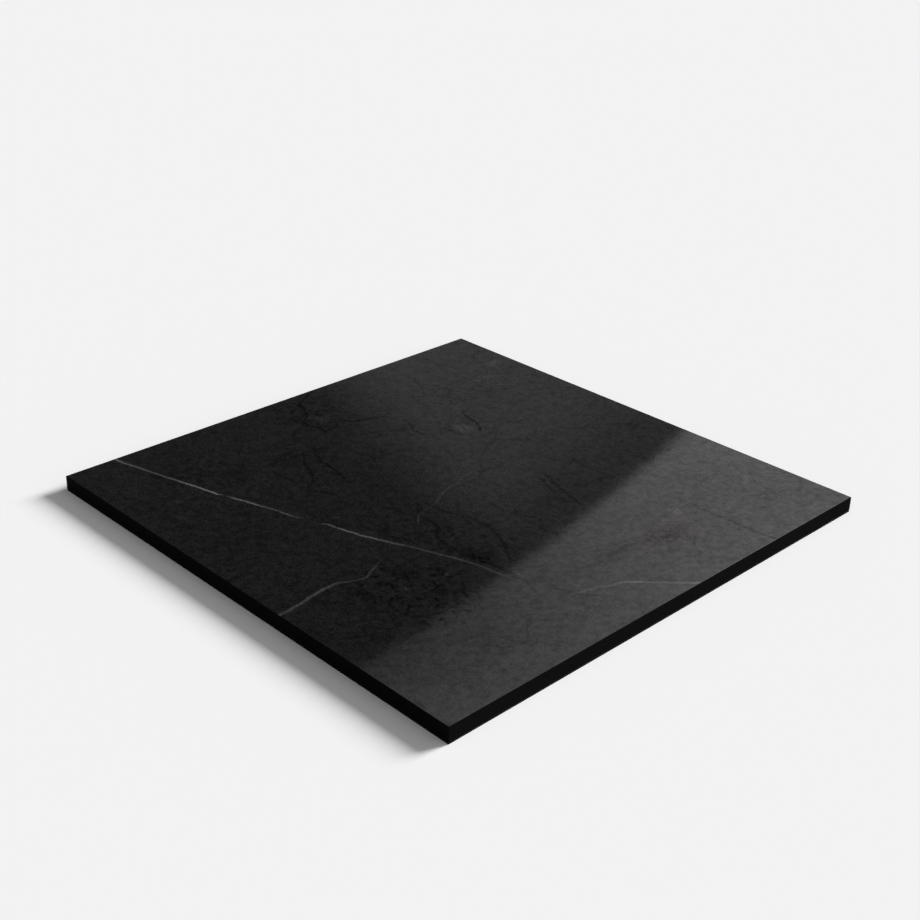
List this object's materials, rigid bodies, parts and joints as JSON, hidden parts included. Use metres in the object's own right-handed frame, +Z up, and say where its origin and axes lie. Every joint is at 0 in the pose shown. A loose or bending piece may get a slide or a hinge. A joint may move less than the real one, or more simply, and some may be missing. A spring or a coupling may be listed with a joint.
{
  "type": "stone work slab",
  "caption": "Thin square slab of black veined stone with a polished working face, backed with an anti-slip rubber sheet.",
  "frame": {"origin": "centre of the footprint, on the bench top that the backing rests on", "axes": "+Z up, out of the working face; +X and +Y along the slab's sides, with +Y to the back"},
  "size_m": [0.305, 0.305, 0.009],
  "materials": {
    "black_stone": "polished",
    "black_rubber": "matte"
  },
  "bodies": {
    "root": {"granite_slab": "black_stone", "anti_slip_backing": "black_rubber"}
  },
  "joints": []
}
